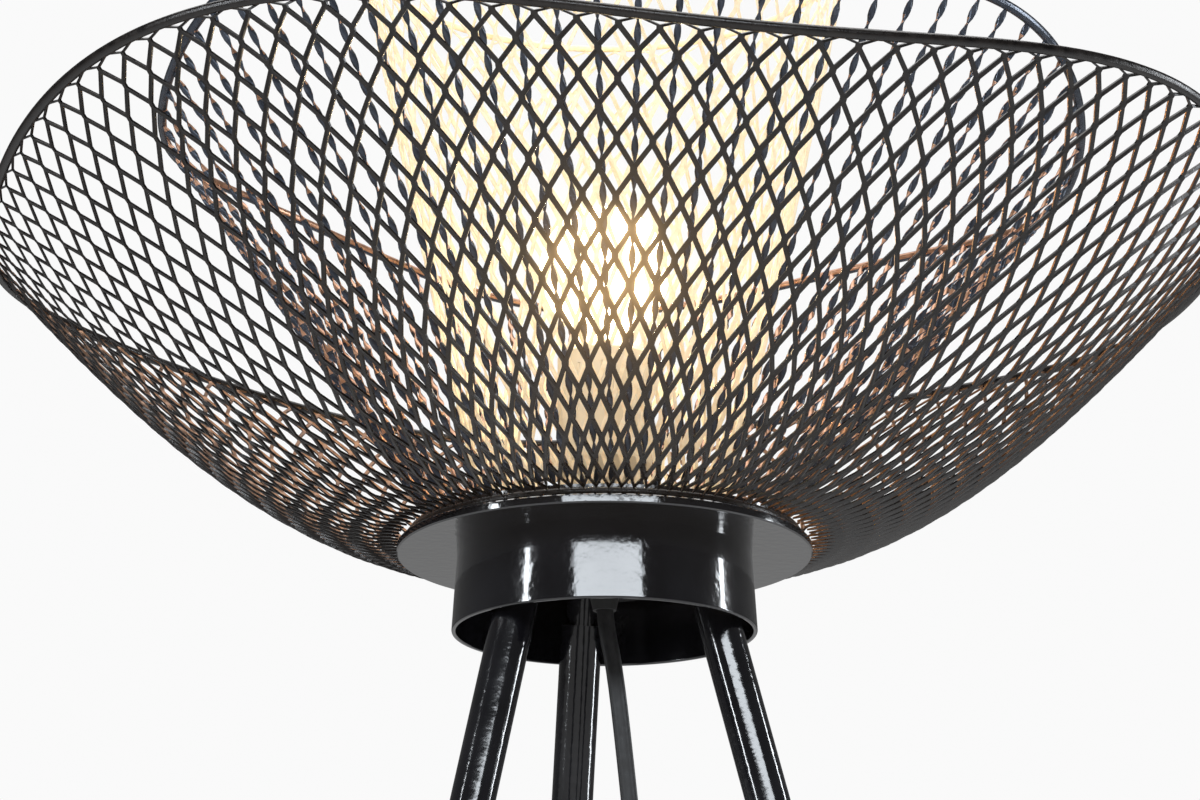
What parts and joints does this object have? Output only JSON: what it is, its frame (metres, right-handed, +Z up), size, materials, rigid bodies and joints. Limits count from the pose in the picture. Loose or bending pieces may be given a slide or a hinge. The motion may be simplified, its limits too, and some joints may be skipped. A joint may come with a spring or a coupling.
{
  "type": "floor_lamp",
  "caption": "Floor lamp: nested wavy-rimmed wire baskets round an upward bulb on a round plate with a hub cup and splayed tube legs, foot-switched cord.",
  "frame": {"origin": "The middle of the standing lamp's outline on the floor, without its cord.", "axes": "+Z up. +Y towards the leg that reaches back, so the lamp mirrors left to right about X = 0. +X to the right, seen from the front."},
  "size_m": [0.6452, 0.6507, 1.5014],
  "materials": {
    "black_enamel": "gloss black enamel",
    "dark_copper": "dark outside, copper inside",
    "ivory_wire": "satin ivory",
    "zinc_steel": "zinc plated",
    "black_rubber": "matte",
    "ivory_plastic": "ivory",
    "brass": "plain",
    "nickel": "threaded cap",
    "clear_glass": "clear",
    "black_glass": "black",
    "cord_black": "flexible sheath",
    "black_plastic": "polished"
  },
  "bodies": {
    "lamp": {"base_plate": "black_enamel", "hub_cup": "black_enamel", "leg_bracket": "zinc_steel", "leg_right": "black_enamel", "leg_back": "black_enamel", "leg_left": "black_enamel", "foot_right": "black_rubber", "foot_back": "black_rubber", "foot_left": "black_rubber", "leg_end_plugs": "zinc_steel", "leg_studs": "zinc_steel", "outer_mesh": "black_enamel", "outer_rim": "black_enamel", "outer_hoop": "black_enamel", "inner_mesh": "ivory_wire", "inner_rim": "ivory_wire", "inner_hoop": "ivory_wire", "middle_rim": "dark_copper", "middle_ribs": "dark_copper", "outer_ring": "black_enamel", "middle_ring": "black_enamel", "inner_ring": "black_enamel", "ring_nuts": "zinc_steel", "threaded_nipple": "zinc_steel", "lock_washer": "zinc_steel", "nipple_nut": "zinc_steel", "holder_riser": "black_enamel", "cord_grip": "black_rubber", "holder_cap": "ivory_plastic", "holder_shell": "ivory_plastic", "holder_core": "ivory_plastic", "terminal_screws": "zinc_steel", "thread_sleeve": "brass", "centre_contact": "brass", "bulb_insulator": "black_glass", "bulb_cap": "nickel", "bulb_glass": "clear_glass", "bulb_stem": "clear_glass", "bulb_filaments": "zinc_steel", "cord_drop": "cord_black", "cord_lead": "cord_black", "cord_tail": "cord_black", "cord_inside": "cord_black", "cord_coil": "cord_black", "cord_tie": "cord_black", "switch_base": "black_plastic", "switch_cover": "black_plastic", "switch_contacts": "ivory_plastic", "switch_spring": "zinc_steel", "switch_screws": "zinc_steel", "switch_sleeve_in": "black_rubber", "switch_sleeve_out": "black_rubber", "plug_body": "black_plastic", "plug_pins": "brass", "plug_sleeve": "black_rubber"},
    "switch_button": {"switch_button": "black_plastic"}
  },
  "joints": [
    {"name": "switch_press", "type": "slide", "parent": "lamp", "child": "switch_button", "axis": [0, 0, -1], "range_m": [0, 0.0025], "stiffness_N_per_m": 900, "springref_m": -0.0012, "deforming": ["switch_spring"]}
  ]
}
